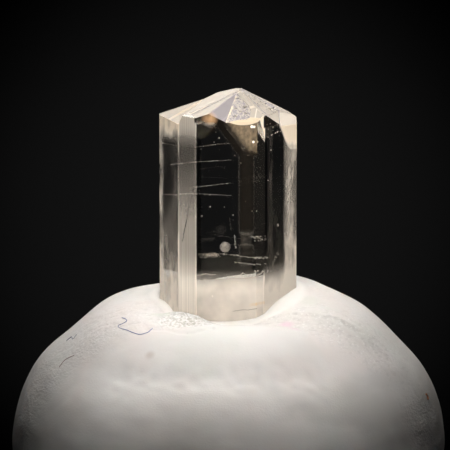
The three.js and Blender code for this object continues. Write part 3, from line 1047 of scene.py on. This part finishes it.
def laid(tree, x, up):
    """The point just off the lump that is met from the front, along a line that slants down with TILT."""
    ahead = Vector((0, math.cos(TILT), -math.sin(TILT)))
    start = (x, -SEARCH_START * math.cos(TILT) + up * math.sin(TILT),
             SEARCH_START * math.sin(TILT) + up * math.cos(TILT))
    hit, normal, _, _ = tree.ray_cast(Vector(start) * MM, ahead)
    return tuple(c / MM for c in hit + normal * LINT_LIFT * MM)


def lint(lump):
    tree = BVHTree.FromObject(lump, bpy.context.evaluated_depsgraph_get())
    thread = thread_shape()
    for name, (colour, radius, run) in LINT.items():
        thread.grow(name, *chain([laid(tree, x, up) for x, up in run]), {
            "Radius": radius * MM, "Waver": LINT_WAVER * MM, "Fading": LINT_FADING,
            "Finish": plain_finish(name, colour),
        }, "white_putty")


# ---- Surroundings ----
FLOOR_RADIUS = 8.3
FLOOR_SIDES = 96
WARM_WHITE = (1, 0.965, 0.93)
# Each lamp: its place, what it points at, its width and height, its power, its colour and its beam's angle.
LAMPS = {
    "top_beam": ((0, -1.5, 28), (0, -1.5, 6), (12.5, 18), 0.00028, WARM_WHITE, 20),
    "top_light": ((0, -1.5, 28), (0, -1.5, 6), (12, 12), 0.0026, WARM_WHITE, 180),
    "back_light": ((5, 95, 62), (0, 0, 8), (80, 60), 0.032, (1, 0.94, 0.87), 180),
    "front_beam": ((0, -22, 24), (0, -3, 5), (9, 7), 0.00006, WARM_WHITE, 24),
    "front_light": ((0, -22, 24), (0, -3, 5), (8, 8), 0.0006, WARM_WHITE, 180),
    "crystal_beam": ((0, -60, 13.8), (0, 0, 10.3), (7, 6.5), 0.00024, (1, 0.95, 0.89), 5),
    "side_beam": ((52, -30, 17), (0, 0, 11.5), (6, 5), 0.00008, (1, 0.93, 0.84), 5),
}
# Cosines of the angles from straight ahead at which the pool of light ends, the grey starts and it is full.
POOL_EDGE, DARK_EDGE, GREY_EDGE = (math.cos(math.radians(angle)) for angle in (5.8, 14, 40))
BOUNCES = {"max": 40, "diffuse": 14, "glossy": 16, "transmission": 32, "transparent_max": 40}
LENS, SENSOR = 264, 36
LOOK_AT = (-0.1095, 0, 9.0155)
CAMERA_DISTANCE = 120.45


def floor():
    ring = []
    for side in range(FLOOR_SIDES):
        turn = 2 * math.pi * side / FLOOR_SIDES
        ring.append((FLOOR_RADIUS * math.cos(turn), FLOOR_RADIUS * math.sin(turn), 0))
    finish = plain_finish("pale_floor", (0.75, 0.74, 0.72))
    piece("floor", ring, [tuple(range(FLOOR_SIDES))], finish, smooth=False)


def lamp(name, place, target, size, watts, colour, beam):
    light = bpy.data.lights.new(name, "AREA")
    light.shape = "RECTANGLE"
    light.size, light.size_y = size[0] * MM, size[1] * MM
    light.energy = watts
    light.color = colour
    light.spread = math.radians(beam)
    made = linked(name, light)
    made.location = Vector(place) * MM
    made.rotation_euler = (Vector(target) - Vector(place)).to_track_quat("-Z", "Y").to_euler()


def dark_room():
    """Black behind the crystal, with a faint soft pool of light, and dim grey to the sides."""
    world = bpy.data.worlds.new("dark_room")
    world.use_nodes = True
    room = Board(world.node_tree)
    toward = room.node("ShaderNodeTexCoord")["Generated"]
    ahead = room.dot(toward, (0, math.cos(TILT), -math.sin(TILT)))
    pool = room.between(ahead, POOL_EDGE, 1) * 0.0062
    sides = room.between(ahead, DARK_EDGE, GREY_EDGE)
    above = room.between(room.axis(toward, "Z"), -0.3, 0.5)
    level = pool + sides * (0.003 + above * 0.01)
    colour = room.node("ShaderNodeCombineXYZ", {}, {0: level, 1: level, 2: level})
    light = room.node("ShaderNodeBackground", {}, {"Color": colour})
    room.node("ShaderNodeOutputWorld", {}, {"Surface": light})
    bpy.context.scene.world = world


def picture_settings():
    """Enough bounces for light to find its way through the crystal, and plain colours."""
    bpy.context.scene.view_settings.view_transform = "Standard"
    for kind, count in BOUNCES.items():
        setattr(bpy.context.scene.cycles, kind + "_bounces", count)


def surroundings():
    dark_room()
    floor()
    for name, settings in LAMPS.items():
        lamp(name, *settings)
    picture_settings()


def camera():
    lens = bpy.data.cameras.new("camera")
    lens.lens = LENS
    lens.sensor_width = SENSOR
    lens.clip_start, lens.clip_end = 0.001, 10
    made = linked("camera", lens)
    back = Vector((0, -math.cos(TILT), math.sin(TILT)))
    made.location = Vector(LOOK_AT) * MM + back * CAMERA_DISTANCE * MM
    made.rotation_euler = (-back).to_track_quat("-Z", "Y").to_euler()
    bpy.context.scene.camera = made


# ---- The scene ----
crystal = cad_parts["crystal"]
crystal.data.materials.clear()
crystal.data.materials.append(clear_crystal_finish())
lump = putty_lump(putty_finish())
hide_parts("mounting_putty")
inclusions(milky_finish("milky_inclusion", 0.25), milky_finish("snowy_cloud", 0.6), shell_finish())
lint(lump)
surroundings()
camera()
